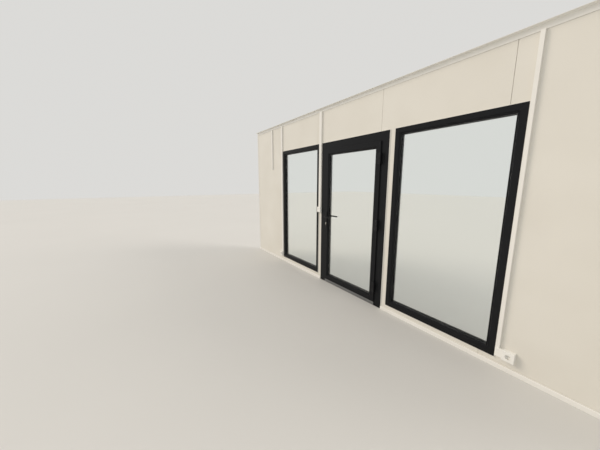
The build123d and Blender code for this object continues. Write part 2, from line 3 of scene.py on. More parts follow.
import bmesh
import bpy
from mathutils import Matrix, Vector


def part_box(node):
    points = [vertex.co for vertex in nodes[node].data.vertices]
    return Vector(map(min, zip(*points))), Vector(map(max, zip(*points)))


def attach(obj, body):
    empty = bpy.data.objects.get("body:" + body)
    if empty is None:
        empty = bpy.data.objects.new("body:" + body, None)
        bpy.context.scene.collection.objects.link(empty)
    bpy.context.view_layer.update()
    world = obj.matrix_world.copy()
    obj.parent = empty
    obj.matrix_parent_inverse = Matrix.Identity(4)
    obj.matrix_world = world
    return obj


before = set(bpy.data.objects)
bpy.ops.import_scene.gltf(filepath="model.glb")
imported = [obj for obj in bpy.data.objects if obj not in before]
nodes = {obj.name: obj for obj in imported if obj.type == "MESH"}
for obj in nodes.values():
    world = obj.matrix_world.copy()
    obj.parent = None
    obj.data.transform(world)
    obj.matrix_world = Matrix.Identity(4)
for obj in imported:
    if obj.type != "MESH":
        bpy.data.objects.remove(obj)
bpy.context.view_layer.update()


# Sandwich panels
# Two sheets of galvanised steel, coil-coated in off-white polyester, foamed together with a
# pale core. They come as tall boards and meet in a dark, narrow joint.

mm = 0.001


def linear(hex_colour):
    """Turns an sRGB hex colour into the linear colour that a node takes."""
    channels = [int(hex_colour[n:n + 2], 16) / 255 for n in (1, 3, 5)]
    return [c / 12.92 if c <= 0.04045 else ((c + 0.055) / 1.055) ** 2.4 for c in channels] + [1.0]


def add_node(tree, kind, settings, inputs):
    """Adds one node, sets it up, and fills each named input with a value or a link."""
    node = tree.nodes.new(kind)
    for name, value in settings.items():
        setattr(node, name, value)
    for name, value in inputs.items():
        if isinstance(value, bpy.types.NodeSocket):
            tree.links.new(value, node.inputs[name])
        else:
            node.inputs[name].default_value = value
    return node


def start_material(name):
    """Gives a new material, its empty node tree and the piece's own coordinates."""
    material = bpy.data.materials.new(name)
    material.use_nodes = True
    tree = material.node_tree
    tree.nodes.clear()
    return material, tree, add_node(tree, "ShaderNodeTexCoord", {}, {}).outputs["Object"]


def close_material(tree, shader):
    """Sends a shader to the material's output."""
    add_node(tree, "ShaderNodeOutputMaterial", {}, {"Surface": shader.outputs["BSDF"]})


def coat_node(node_name, material):
    """Puts a material on a piece of the frame."""
    slots = nodes[node_name].material_slots
    if not slots:
        nodes[node_name].data.materials.append(material)
    for slot in slots:
        slot.material = material


def coil_coated_steel():
    """Satin polyester baked on flat steel: even, with the faint ripple of a glued sheet."""
    material, tree, place = start_material("coil_coated_steel")
    # The skins are folded in at the board's edges, and the bare core shows between them.
    skin_depth = 9 * mm
    panel_half = 50 * mm
    ripple_length = 420 * mm
    foam_cell = 2.5 * mm
    # The coating's own grain is about 1 mm. It is drawn six times as coarse, so that it shows.
    peel_width = 6 * mm
    ripple = add_node(tree, "ShaderNodeTexNoise", {}, {
        "Vector": place, "Scale": 1 / ripple_length, "Detail": 1.5, "Roughness": 0.4})
    peel = add_node(tree, "ShaderNodeTexNoise", {}, {
        "Vector": place, "Scale": 1 / peel_width, "Detail": 2.0, "Roughness": 0.5})
    ripple_bump = add_node(tree, "ShaderNodeBump", {}, {
        "Height": ripple.outputs[0], "Strength": 0.35, "Distance": 4 * mm})
    peel_bump = add_node(tree, "ShaderNodeBump", {}, {
        "Height": peel.outputs[0], "Strength": 0.12, "Distance": 0.25 * mm,
        "Normal": ripple_bump.outputs["Normal"]})
    tone = add_node(tree, "ShaderNodeMix", {"data_type": "RGBA"}, {
        0: ripple.outputs[0], 6: linear("#dedad0"), 7: linear("#e9e6de")})
    depth = add_node(tree, "ShaderNodeSeparateXYZ", {}, {"Vector": place})
    from_middle = add_node(tree, "ShaderNodeMath", {"operation": "ABSOLUTE"}, {
        0: depth.outputs["Y"]})
    is_skin = add_node(tree, "ShaderNodeMath", {"operation": "GREATER_THAN"}, {
        0: from_middle.outputs[0], 1: panel_half - skin_depth})
    cells = add_node(tree, "ShaderNodeTexVoronoi", {}, {"Vector": place, "Scale": 1 / foam_cell})
    foam = add_node(tree, "ShaderNodeMix", {"data_type": "RGBA"}, {
        0: cells.outputs["Distance"], 6: linear("#d8cba8"), 7: linear("#e6dcc2")})
    colour = add_node(tree, "ShaderNodeMix", {"data_type": "RGBA"}, {
        0: is_skin.outputs[0], 6: foam.outputs[2], 7: tone.outputs[2]})
    sheen = add_node(tree, "ShaderNodeMapRange", {}, {
        "Value": peel.outputs[0], "From Min": 0.3, "From Max": 0.7, "To Min": 0.36, "To Max": 0.44})
    roughness = add_node(tree, "ShaderNodeMix", {"data_type": "FLOAT"}, {
        0: is_skin.outputs[0], 2: 0.95, 3: sheen.outputs[0]})
    close_material(tree, add_node(tree, "ShaderNodeBsdfPrincipled", {}, {
        "Base Color": colour.outputs[2], "Roughness": roughness.outputs[0], "IOR": 1.5,
        "Normal": peel_bump.outputs["Normal"]}))
    return material


panel_coating = coil_coated_steel()
for panel_name in ("end_panel_left", "window_panel_left", "door_pier_left", "door_lintel",
                   "door_pier_right", "window_lintel_right", "window_sill_right",
                   "end_panel_right"):
    coat_node(panel_name, panel_coating)


# Folded channels
# U-shaped channels folded from galvanised steel and powder-coated white. They take the panels'
# edges and are fixed through their outer legs with hexagon screws on sealing washers.


def powder_coated_white():
    """Powder coating on folded steel: a little whiter than the panels, with a soft orange peel."""
    material, tree, place = start_material("powder_coated_white_steel")
    # Orange peel is about 1.5 mm across. It is drawn three times as coarse, so that it shows.
    peel_width = 4.5 * mm
    cloud_width = 600 * mm
    peel = add_node(tree, "ShaderNodeTexNoise", {}, {
        "Vector": place, "Scale": 1 / peel_width, "Detail": 2.0, "Roughness": 0.5})
    cloud = add_node(tree, "ShaderNodeTexNoise", {}, {
        "Vector": place, "Scale": 1 / cloud_width, "Detail": 3.0})
    colour = add_node(tree, "ShaderNodeMix", {"data_type": "RGBA"}, {
        0: cloud.outputs[0], 6: linear("#e2dfd8"), 7: linear("#edebe5")})
    bump = add_node(tree, "ShaderNodeBump", {}, {
        "Height": peel.outputs[0], "Strength": 0.2, "Distance": 0.3 * mm})
    roughness = add_node(tree, "ShaderNodeMapRange", {}, {
        "Value": peel.outputs[0], "From Min": 0.3, "From Max": 0.7, "To Min": 0.3, "To Max": 0.4})
    close_material(tree, add_node(tree, "ShaderNodeBsdfPrincipled", {}, {
        "Base Color": colour.outputs[2], "Roughness": roughness.outputs[0], "IOR": 1.5,
        "Normal": bump.outputs["Normal"]}))
    return material


def turned(rings, sides, star_from=None):
    """Gives a small turned part that stands on z = 0; its rings from star_from on are a star."""
    star_waist = 0.74
    points = []
    for index, (radius, height) in enumerate(rings):
        for n in range(sides):
            reach = radius
            if star_from is not None and index >= star_from and n % 2:
                reach = radius * star_waist
            angle = math.tau * n / sides
            points.append((reach * math.cos(angle), reach * math.sin(angle), height))
    faces = [tuple(reversed(range(sides)))]
    for ring in range(len(rings) - 1):
        for n in range(sides):
            near = ring * sides
            after = (n + 1) % sides
            faces.append((near + n, near + after, near + sides + after, near + sides + n))
    faces.append(tuple((len(rings) - 1) * sides + n for n in range(sides)))
    return points, faces


def joined(*shapes):
    """Puts several shapes of points and faces together in one."""
    points = []
    faces = []
    for shape_points, shape_faces in shapes:
        faces += [tuple(len(points) + index for index in face) for face in shape_faces]
        points += shape_points
    return points, faces


def make_piece(name, shape, material=None, smooth=False):
    """Makes an object of points and faces."""
    mesh = bpy.data.meshes.new(name)
    mesh.from_pydata(shape[0], [], shape[1])
    if material:
        mesh.materials.append(material)
    if smooth:
        mesh.polygons.foreach_set("use_smooth", [True] * len(mesh.polygons))
    piece = bpy.data.objects.new(name, mesh)
    bpy.context.scene.collection.objects.link(piece)
    return piece


def build_copies_tree():
    """Builds the node tree that sets a small part on points, or evenly along a path."""
    tree = bpy.data.node_groups.new("copies_of_a_small_part", "GeometryNodeTree")
    sockets = {}
    for label, kind in (("Guide", "Geometry"), ("Part", "Object"), ("Along Path", "Bool"),
                        ("Spacing", "Float"), ("Facing", "Vector"), ("Turn", "Float"),
                        ("Seed", "Int"), ("Finish", "Material")):
        sockets[label] = tree.interface.new_socket(
            label, in_out="INPUT", socket_type="NodeSocket" + kind)
    tree.interface.new_socket("Geometry", in_out="OUTPUT", socket_type="NodeSocketGeometry")
    given = add_node(tree, "NodeGroupInput", {}, {}).outputs
    path = add_node(tree, "GeometryNodeMeshToCurve", {}, {"Mesh": given["Guide"]})
    even = add_node(tree, "GeometryNodeResampleCurve", {"mode": "LENGTH"}, {
        "Curve": path.outputs[0], "Length": given["Spacing"]})
    places = add_node(tree, "GeometryNodeSwitch", {"input_type": "GEOMETRY"}, {
        "Switch": given["Along Path"], "False": given["Guide"], "True": even.outputs[0]})
    part = add_node(tree, "GeometryNodeObjectInfo", {}, {"Object": given["Part"]})
    facing = add_node(tree, "FunctionNodeAlignRotationToVector", {"axis": "Z"}, {
        "Vector": given["Facing"]})
    spin = add_node(tree, "FunctionNodeRandomValue", {"data_type": "FLOAT"}, {
        2: 0.0, 3: given["Turn"], "Seed": given["Seed"]})
    about_axis = add_node(tree, "ShaderNodeCombineXYZ", {}, {"Z": spin.outputs[1]})
    spun = add_node(tree, "FunctionNodeEulerToRotation", {}, {"Euler": about_axis.outputs[0]})
    turned_part = add_node(tree, "FunctionNodeRotateRotation", {"rotation_space": "LOCAL"}, {
        "Rotation": facing.outputs[0], "Rotate By": spun.outputs[0]})
    copies = add_node(tree, "GeometryNodeInstanceOnPoints", {}, {
        "Points": places.outputs[0], "Instance": part.outputs["Geometry"],
        "Rotation": turned_part.outputs[0]})
    real = add_node(tree, "GeometryNodeRealizeInstances", {}, {"Geometry": copies.outputs[0]})
    finished = add_node(tree, "GeometryNodeSetMaterial", {}, {
        "Geometry": real.outputs[0], "Material": given["Finish"]})
    add_node(tree, "NodeGroupOutput", {}, {"Geometry": finished.outputs[0]})
    return tree, sockets


copies_tree, copies_sockets = build_copies_tree()


def apply_nodes(piece, tree, values):
    """Runs a node tree on a piece, keeps the result as its mesh and takes the tree off again."""
    modifier = piece.modifiers.new(tree.name, "NODES")
    modifier.node_group = tree
    for identifier, value in values.items():
        modifier[identifier] = value
    piece.update_tag()
    depsgraph = bpy.context.evaluated_depsgraph_get()
    mesh = bpy.data.meshes.new_from_object(piece.evaluated_get(depsgraph), depsgraph=depsgraph)
    piece.modifiers.clear()
    piece.data = mesh


def place_copies(name, shape, places, facing, finish, spacing=None, turn=math.tau, smooth=False):
    """Sets copies of a small part on points, or along runs of two points each, as one mesh."""
    part = make_piece(name + "_part", shape, smooth=smooth)
    guide = bpy.data.meshes.new(name)
    if spacing:
        ends = [end for run in places for end in run]
        guide.from_pydata(ends, [(n, n + 1) for n in range(0, len(ends), 2)], [])
    else:
        guide.from_pydata(places, [], [])
    piece = bpy.data.objects.new(name, guide)
    bpy.context.scene.collection.objects.link(piece)
    values = {"Part": part, "Along Path": bool(spacing), "Spacing": spacing or 1.0,
              "Facing": facing, "Turn": turn, "Seed": 7, "Finish": finish}
    apply_nodes(piece, copies_tree, {
        copies_sockets[label].identifier: value for label, value in values.items()})
    bpy.data.objects.remove(part)
    return piece


white_powder = powder_coated_white()
for channel_name in ("base_channel", "top_channel", "end_channels"):
    coat_node(channel_name, white_powder)

channel_low, channel_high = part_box("top_channel")
door_low, door_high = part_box("door_frame")
channel_leg = 30 * mm
screw_margin = 60 * mm
screw_pitch = 400 * mm
# A round sealing washer under a hexagon head, each ring as its radius and height.
hexagon_screw = joined(
    turned([(7.5 * mm, 0.0), (7.5 * mm, 1.6 * mm), (5.5 * mm, 2.2 * mm)], 18),
    turned([(4.6 * mm, 2.2 * mm), (4.6 * mm, 5.6 * mm), (3.9 * mm, 6.4 * mm)], 6),
)
foot_line = channel_leg / 2
head_line = channel_high.z - channel_leg / 2
left_line = channel_low.x + channel_leg / 2
right_line = channel_high.x - channel_leg / 2
end_foot = 150 * mm
end_head = head_line - 100 * mm
# The foot channel stops where the doorway's flashing begins.
flashing_reach = 31 * mm
door_cut = flashing_reach + screw_margin
channel_runs = [
    ((channel_low.x + screw_margin, foot_line), (door_low.x - door_cut, foot_line)),
    ((door_high.x + door_cut, foot_line), (channel_high.x - screw_margin, foot_line)),
    ((channel_low.x + screw_margin, head_line), (channel_high.x - screw_margin, head_line)),
    ((left_line, end_foot), (left_line, end_head)),
    ((right_line, end_foot), (right_line, end_head)),
]
channel_screws = place_copies(
    "channel_screws", hexagon_screw,
    [[(x, channel_high.y, z) for x, z in run] for run in channel_runs],
    (0, 1, 0), white_powder, spacing=screw_pitch)
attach(channel_screws, "wall")


# Frame profiles
# The fixed window frames, the door frame, the leaf and their glazing beads are aluminium
# extrusions, mitred at the corners and powder-coated in matt black with a fine texture.


def powder_coated_black():
    """Fine-textured black powder coating: nearly matt, greying a little where light rakes it."""
    material, tree, place = start_material("powder_coated_black_aluminium")
    # The coating's grit is about 0.5 mm. It is drawn as 2 mm grains, so that it shows.
    grit_width = 2 * mm
    peel_width = 30 * mm
    grit = add_node(tree, "ShaderNodeTexNoise", {}, {
        "Vector": place, "Scale": 1 / grit_width, "Detail": 1.0, "Roughness": 0.6})
    peel = add_node(tree, "ShaderNodeTexNoise", {}, {
        "Vector": place, "Scale": 1 / peel_width, "Detail": 2.0})
    colour = add_node(tree, "ShaderNodeMix", {"data_type": "RGBA"}, {
        0: grit.outputs[0], 6: linear("#07080a"), 7: linear("#1d1e21")})
    bump = add_node(tree, "ShaderNodeBump", {}, {
        "Height": grit.outputs[0], "Strength": 0.5, "Distance": 0.3 * mm})
    roughness = add_node(tree, "ShaderNodeMapRange", {}, {
        "Value": peel.outputs[0], "From Min": 0.3, "From Max": 0.7, "To Min": 0.34, "To Max": 0.44})
    close_material(tree, add_node(tree, "ShaderNodeBsdfPrincipled", {}, {
        "Base Color": colour.outputs[2], "Roughness": roughness.outputs[0], "IOR": 1.5,
        "Specular IOR Level": 0.2, "Normal": bump.outputs["Normal"]}))
    return material


def swept(section, low, high, open_foot=False):
    """Sweeps a section of (outwards, y) points round a rectangle of (x, z) corners, with mitres."""
    count = len(section)
    points = []
    foot = 0 if open_foot else -1
    corners = ((low[0], low[1], -1, foot), (low[0], high[1], -1, 1),
               (high[0], high[1], 1, 1), (high[0], low[1], 1, foot))
    for x, z, right, up in corners:
        points += [(x + right * out, y, z + up * out) for out, y in section]
    faces = []
    for corner in range(3 if open_foot else 4):
        after = (corner + 1) % 4
        for n in range(count):
            m = (n + 1) % count
            faces.append((corner * count + n, corner * count + m,
                          after * count + m, after * count + n))
    if open_foot:
        faces.append(tuple(range(count)))
        faces.append(tuple(3 * count + n for n in range(count)))
    return points, faces


def turn_outwards(piece):
    """Makes every face of a closed piece point outwards."""
    shell = bmesh.new()
    shell.from_mesh(piece.data)
    bmesh.ops.recalc_face_normals(shell, faces=shell.faces)
    shell.to_mesh(piece.data)
    shell.free()


def corner_seams(section, low, high, corners):
    """Gives the hairline ribbons that lie over a section along the mitres at the named corners."""
    half = 0.35 * mm
    lift = 0.06 * mm
    # A section nearer the room than this faces the room, and any other faces the garden.
    mid_depth = -30 * mm
    shapes = []
    for side, level in corners:
        x = low[0] if side < 0 else high[0]
        z = low[1] if level < 0 else high[1]
        face_sign = -1 if section[0][1] < mid_depth else 1
        points = []
        for out, y in section:
            middle = Vector((x - side * out, y + face_sign * lift, z - level * out))
            across = Vector((level, 0, -side)).normalized() * half
            points += [tuple(middle - across), tuple(middle + across)]
        faces = [(2 * n, 2 * n + 1, 2 * n + 3, 2 * n + 2) for n in range(len(section) - 1)]
        shapes.append((points, faces))
    return shapes


black_powder = powder_coated_black()
for profile_name in ("window_frame_left", "window_frame_right", "window_beads", "door_frame",
                     "leaf_frame", "leaf_beads"):
    coat_node(profile_name, black_powder)


# Glazing gaskets and seals
# Extruded black rubber, pressed in on both sides of the glass and round the door's rebate.
# It is matt and a little grey, and soft enough to close the last gap.


def seal_rubber():
    """Black extruded rubber: matt, dusty grey along its length."""
    material, tree, place = start_material("extruded_black_rubber")
    dust_width = 25 * mm
    stretched = add_node(tree, "ShaderNodeMapping", {}, {"Vector": place, "Scale": (1.0, 6.0, 1.0)})
    dust = add_node(tree, "ShaderNodeTexNoise", {}, {
        "Vector": stretched.outputs[0], "Scale": 1 / dust_width, "Detail": 4.0})
    colour = add_node(tree, "ShaderNodeMix", {"data_type": "RGBA"}, {
        0: dust.outputs[0], 6: linear("#101010"), 7: linear("#232322")})
    bump = add_node(tree, "ShaderNodeBump", {}, {
        "Height": dust.outputs[0], "Strength": 0.2, "Distance": 0.2 * mm})
    close_material(tree, add_node(tree, "ShaderNodeBsdfPrincipled", {}, {
        "Base Color": colour.outputs[2], "Roughness": 0.72, "IOR": 1.52,
        "Normal": bump.outputs["Normal"]}))
    return material


rubber = seal_rubber()
for gasket_name in ("window_gaskets", "leaf_gaskets"):
    coat_node(gasket_name, rubber)

leaf_low, leaf_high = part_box("leaf_frame")
rebate_gap = 3 * mm
touch = 0.2 * mm


def bulb(half, root, tip):
    """Gives the section of a bulb seal: a flat foot at root and a round back that reaches tip."""
    steps = 8
    foot_half = half * 0.55
    turns = [math.pi * n / steps for n in range(steps + 1)]
    crown = [(half * math.cos(turn), root + (tip - root) * math.sin(turn)) for turn in turns]
    return crown + [(-foot_half, root), (foot_half, root)]


# Places counted in from the frame's outer edge, and the level of each seal on the threshold.
flange_edge = 101 * mm
frame_body = 107 * mm
leaf_edge = 113 * mm
door_stop_reach = 121 * mm
room_line = (flange_edge + frame_body) / 2
garden_line = (leaf_edge + door_stop_reach) / 2
room_seal_foot = 53 * mm
garden_seal_foot = 66 * mm
room_bulb_half = 2.8 * mm
garden_bulb_half = 3.6 * mm
room_seal = swept(bulb(room_bulb_half, door_low.y, door_low.y - rebate_gap + touch),
                  (door_low.x + room_line, room_seal_foot),
                  (door_high.x - room_line, door_high.z - room_line))
garden_seal = swept(bulb(garden_bulb_half, leaf_high.y + rebate_gap, leaf_high.y + touch),
                    (door_low.x + garden_line, garden_seal_foot),
                    (door_high.x - garden_line, door_high.z - garden_line))
door_seals = make_piece("door_seals", joined(room_seal, garden_seal), rubber, smooth=True)
turn_outwards(door_seals)
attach(door_seals, "wall")


# Corner seams and drain caps
# Each mitre is glued and crimped, and shows as a hairline across the profile. Rain that gets
# under the glass leaves through two slots under moulded caps in each window's foot.

window_boxes = [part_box("window_frame_left"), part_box("window_frame_right")]
window_body = 48 * mm
window_sight = 68 * mm
arris = 1.5 * mm
seam_end = 0.3 * mm
seam_shapes = []
all_corners = ((-1, -1), (-1, 1), (1, -1), (1, 1))
top_corners = ((-1, 1), (1, 1))
for low, high in window_boxes:
    inside = [(seam_end, low.y), (window_body - arris, low.y), (window_body, low.y + arris)]
    outside = [(seam_end, high.y), (window_sight - arris, high.y)]
    for section in (inside, outside):
        seam_shapes += corner_seams(section, (low.x, low.z), (high.x, high.z), all_corners)
door_inside = [(seam_end, door_low.y), (frame_body - arris, door_low.y),
               (frame_body, door_low.y + arris)]
door_outside = [(seam_end, door_high.y), (door_stop_reach - arris, door_high.y)]
for section in (door_inside, door_outside):
    seam_shapes += corner_seams(section, (door_low.x, door_low.z), (door_high.x, door_high.z),
                                top_corners)
frame_seams = make_piece("frame_corner_seams", joined(*seam_shapes), rubber)
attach(frame_seams, "wall")

leaf_flange = leaf_edge - flange_edge
leaf_face = 57 * mm
leaf_back = 65 * mm
leaf_body_low = (leaf_low.x + leaf_flange, leaf_low.z + leaf_flange)
leaf_body_high = (leaf_high.x - leaf_flange, leaf_high.z - leaf_flange)
leaf_inside = [(seam_end, leaf_low.y), (leaf_face - arris, leaf_low.y),
               (leaf_face, leaf_low.y + arris)]
leaf_outside = [(seam_end, leaf_high.y), (leaf_back - arris, leaf_high.y)]
leaf_seams = make_piece("leaf_corner_seams", joined(
    *corner_seams(leaf_inside, (leaf_low.x, leaf_low.z), (leaf_high.x, leaf_high.z), all_corners),
    *corner_seams(leaf_outside, leaf_body_low, leaf_body_high, all_corners)), rubber)
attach(leaf_seams, "leaf")


def stadium(length, width, sides):
    """Gives the outline of a bar with round ends, in its own plane."""
    radius = width / 2
    straight = length / 2 - radius
    outline = []
    for end in (1, -1):
        for n in range(sides + 1):
            angle = -math.pi / 2 + math.pi * n / sides
            outline.append((end * (straight + radius * math.cos(angle)),
                            end * radius * math.sin(angle)))
    return outline


def cap_shape(length, width, height, edge):
    """Gives a low moulded cap with a bevelled rim, standing on z = 0."""
    sides = 6
    rim = stadium(length, width, sides)
    top = stadium(length - 2 * edge, width - 2 * edge, sides)
    outlines = [(rim, 0.0), (rim, height - edge), (top, height)]
    count = len(outlines[0][0])
    points = [(x, y, level) for outline, level in outlines for x, y in outline]
    faces = [tuple(reversed(range(count)))]
    for ring in range(2):
        for n in range(count):
            m = (n + 1) % count
            faces.append((ring * count + n, ring * count + m,
                          (ring + 1) * count + m, (ring + 1) * count + n))
    faces.append(tuple(2 * count + n for n in range(count)))
    return points, faces


cap_level = 24 * mm
cap_inset = 210 * mm
cap_places = [(x, high.y, low.z + cap_level) for low, high in window_boxes
              for x in (low.x + cap_inset, high.x - cap_inset)]
drain_cap = cap_shape(length=32 * mm, width=11 * mm, height=3.5 * mm, edge=1.2 * mm)
drain_caps = place_copies("drain_caps", drain_cap, cap_places, (0, 1, 0), black_powder, turn=0.0)
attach(drain_caps, "wall")


# Double glazing
# Two sheets of clear float glass, kept apart by an aluminium spacer whose inner face is pierced
# to let the drying beads breathe. The spacer is drawn near black as painted shade of its gap.


def float_glass():
    """Clear float glass: a mirror-smooth sheet that carries only a little dust."""
    material, tree, place = start_material("clear_float_glass")
    film_width = 380 * mm
    film = add_node(tree, "ShaderNodeTexNoise", {}, {
        "Vector": place, "Scale": 1 / film_width, "Detail": 5.0, "Roughness": 0.6})
    haze = add_node(tree, "ShaderNodeMapRange", {}, {
        "Value": film.outputs[0], "From Min": 0.5, "From Max": 0.8, "To Min": 0.0, "To Max": 0.03})
    close_material(tree, add_node(tree, "ShaderNodeBsdfPrincipled", {}, {
        "Base Color": linear("#fcfefd"), "Roughness": haze.outputs[0], "IOR": 1.52,
        "Transmission Weight": 1.0}))
    return material


def shade_darkened_spacer_strip():
    """Thin rolled aluminium with rows of pin holes, near black and dull as painted shade."""
    material, tree, place = start_material("spacer_aluminium_in_painted_shade")
    # The holes are 0.5 mm wide. They are drawn as 1.5 mm dots, 6 mm apart, so that they show.
    hole_pitch = 6 * mm
    hole_share = 0.14
    dots = add_node(tree, "ShaderNodeTexVoronoi", {}, {
        "Vector": place, "Scale": 1 / hole_pitch, "Randomness": 0.0})
    metal = add_node(tree, "ShaderNodeMath", {"operation": "GREATER_THAN"}, {
        0: dots.outputs["Distance"], 1: hole_share})
    # Painted shade: the strip is drawn near black for the shaded gap between the panes. The darker
    # dots are its holes.
    colour = add_node(tree, "ShaderNodeMix", {"data_type": "RGBA"}, {
        0: metal.outputs[0], 6: linear("#0c0c0d"), 7: linear("#26282a")})
    close_material(tree, add_node(tree, "ShaderNodeBsdfPrincipled", {}, {
        "Base Color": colour.outputs[2], "Roughness": 0.5, "Metallic": 1.0}))
    return material


glass = float_glass()
for glass_name in ("window_glass", "leaf_glass"):
    coat_node(glass_name, glass)
spacer_strip = shade_darkened_spacer_strip()
for spacer_name in ("window_spacers", "leaf_spacer"):
    coat_node(spacer_name, spacer_strip)


# Threshold
# One length of extruded, anodised aluminium across the doorway. The die left fine lines along
# it, and the feet that cross it leave scuffs. Its grey is drawn dark as painted shade of the leaf
# above it.


def threshold_aluminium_in_painted_shade():
    """Natural anodised aluminium, drawn dark as painted shade: satin, die lines, a few scuffs."""
    material, tree, place = start_material("threshold_aluminium_in_painted_shade")
    line_width = 2.5 * mm
    scuff_width = 45 * mm
    along = add_node(tree, "ShaderNodeMapping", {}, {"Vector": place, "Scale": (0.01, 1.0, 1.0)})
    lines = add_node(tree, "ShaderNodeTexNoise", {}, {
        "Vector": along.outputs[0], "Scale": 1 / line_width, "Detail": 3.0})
    scuffs = add_node(tree, "ShaderNodeTexNoise", {}, {
        "Vector": place, "Scale": 1 / scuff_width, "Detail": 6.0, "Roughness": 0.7})
    # Both greys are darker than the bare metal, as painted shade of the leaf above. The clouds
    # between the two greys are scuffs.
    colour = add_node(tree, "ShaderNodeMix", {"data_type": "RGBA"}, {
        0: scuffs.outputs[0], 6: linear("#828383"), 7: linear("#a3a4a5")})
    roughness = add_node(tree, "ShaderNodeMapRange", {}, {
        "Value": scuffs.outputs[0], "From Min": 0.35, "From Max": 0.7,
        "To Min": 0.28, "To Max": 0.5})
    bump = add_node(tree, "ShaderNodeBump", {}, {
        "Height": lines.outputs[0], "Strength": 0.2, "Distance": 0.15 * mm})
    close_material(tree, add_node(tree, "ShaderNodeBsdfPrincipled", {}, {
        "Base Color": colour.outputs[2], "Roughness": roughness.outputs[0], "Metallic": 1.0,
        "Normal": bump.outputs["Normal"]}))
    return material


coat_node("threshold", threshold_aluminium_in_painted_shade())


# Hinges
# Three surface hinges of black powder-coated steel. Each is held by countersunk star-head
# screws, four in the door's plate and three in the frame's.


def black_hardware():
    """Smooth black powder coating on cast and pressed hardware, with a low gloss."""
    material, tree, place = start_material("black_coated_hardware")
    peel_width = 5 * mm
    peel = add_node(tree, "ShaderNodeTexNoise", {}, {
        "Vector": place, "Scale": 1 / peel_width, "Detail": 3.0})
    colour = add_node(tree, "ShaderNodeMix", {"data_type": "RGBA"}, {
        0: peel.outputs[0], 6: linear("#0e0e10"), 7: linear("#1a1b1d")})
    bump = add_node(tree, "ShaderNodeBump", {}, {
        "Height": peel.outputs[0], "Strength": 0.15, "Distance": 0.2 * mm})
    roughness = add_node(tree, "ShaderNodeMapRange", {}, {
        "Value": peel.outputs[0], "From Min": 0.3, "From Max": 0.7, "To Min": 0.3, "To Max": 0.4})
    close_material(tree, add_node(tree, "ShaderNodeBsdfPrincipled", {}, {
        "Base Color": colour.outputs[2], "Roughness": roughness.outputs[0], "IOR": 1.5,
        "Specular IOR Level": 0.3, "Normal": bump.outputs["Normal"]}))
    return material


def star_screw(radius):
    """Gives a low raised screw head with a star recess."""
    rings = [(radius, 0.0), (radius * 0.97, 0.4 * mm), (radius * 0.8, 0.9 * mm),
             (radius * 0.46, 1.1 * mm), (radius * 0.44, 0.15 * mm)]
    return turned(rings, 12, star_from=3)


black_fittings = black_hardware()
for hinge_name in ("hinge_frame_leaves", "hinge_door_leaves", "hinge_pins"):
    coat_node(hinge_name, black_fittings)

plate_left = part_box("hinge_door_leaves")[0].x
arm_low, arm_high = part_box("hinge_frame_leaves")
hinge_height = 120 * mm
hinge_middles = [arm_low.z + hinge_height / 2, (arm_low.z + arm_high.z) / 2,
                 arm_high.z - hinge_height / 2]
hinge_plate = 4 * mm
hinge_screw = star_screw(4.5 * mm)
# Each screw of one hinge by its place in from the plate's edge and up from the hinge's middle.
leaf_screw_steps = ((12 * mm, -45 * mm), (12 * mm, 45 * mm),
                    (30 * mm, -26 * mm), (30 * mm, 26 * mm))
frame_screw_levels = (-42 * mm, 0.0, 42 * mm)
frame_screw_inset = 10 * mm
door_plate_face = leaf_low.y - hinge_plate
frame_plate_face = door_low.y - hinge_plate
leaf_screw_places = [(plate_left + inset, door_plate_face, middle + level)
                     for middle in hinge_middles for inset, level in leaf_screw_steps]
frame_screw_places = [(arm_high.x - frame_screw_inset, frame_plate_face, middle + level)
                      for middle in hinge_middles for level in frame_screw_levels]
leaf_hinge_screws = place_copies("leaf_hinge_screws", hinge_screw, leaf_screw_places,
                                 (0, -1, 0), black_fittings)
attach(leaf_hinge_screws, "leaf")
frame_hinge_screws = place_copies("frame_hinge_screws", hinge_screw, frame_screw_places,
                                  (0, -1, 0), black_fittings)
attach(frame_hinge_screws, "wall")


# Lock
# A brushed stainless faceplate in the leaf's edge and a strike plate in the frame, with a
# nickel-plated profile cylinder through the leaf and a key slot at both ends.


def brushed_stainless():
    """Stainless strip, brushed along its length."""
    material, tree, place = start_material("brushed_stainless_steel")
    line_width = 1.5 * mm
    along = add_node(tree, "ShaderNodeMapping", {}, {"Vector": place, "Scale": (1.0, 1.0, 0.02)})
    lines = add_node(tree, "ShaderNodeTexNoise", {}, {
        "Vector": along.outputs[0], "Scale": 1 / line_width, "Detail": 3.0})
    colour = add_node(tree, "ShaderNodeMix", {"data_type": "RGBA"}, {
        0: lines.outputs[0], 6: linear("#9fa0a1"), 7: linear("#c2c3c3")})
    bump = add_node(tree, "ShaderNodeBump", {}, {
        "Height": lines.outputs[0], "Strength": 0.2, "Distance": 0.1 * mm})
    close_material(tree, add_node(tree, "ShaderNodeBsdfPrincipled", {}, {
        "Base Color": colour.outputs[2], "Roughness": 0.32, "Metallic": 1.0,
        "Normal": bump.outputs["Normal"]}))
    return material


def nickel_plate():
    """Bright nickel on turned brass, a little duller where keys and fingers touch it."""
    material, tree, place = start_material("nickel_plated_brass")
    wear_width = 4 * mm
    wear = add_node(tree, "ShaderNodeTexNoise", {}, {
        "Vector": place, "Scale": 1 / wear_width, "Detail": 5.0})
    colour = add_node(tree, "ShaderNodeMix", {"data_type": "RGBA"}, {
        0: wear.outputs[0], 6: linear("#d6d2c9"), 7: linear("#ebe8e1")})
    roughness = add_node(tree, "ShaderNodeMapRange", {}, {
        "Value": wear.outputs[0], "From Min": 0.3, "From Max": 0.7, "To Min": 0.16, "To Max": 0.3})
    close_material(tree, add_node(tree, "ShaderNodeBsdfPrincipled", {}, {
        "Base Color": colour.outputs[2], "Roughness": roughness.outputs[0], "Metallic": 1.0}))
    return material


stainless = brushed_stainless()
nickel = nickel_plate()
for lock_name in ("lock_faceplate", "strike_plate"):
    coat_node(lock_name, stainless)
coat_node("lock_cylinder", nickel)

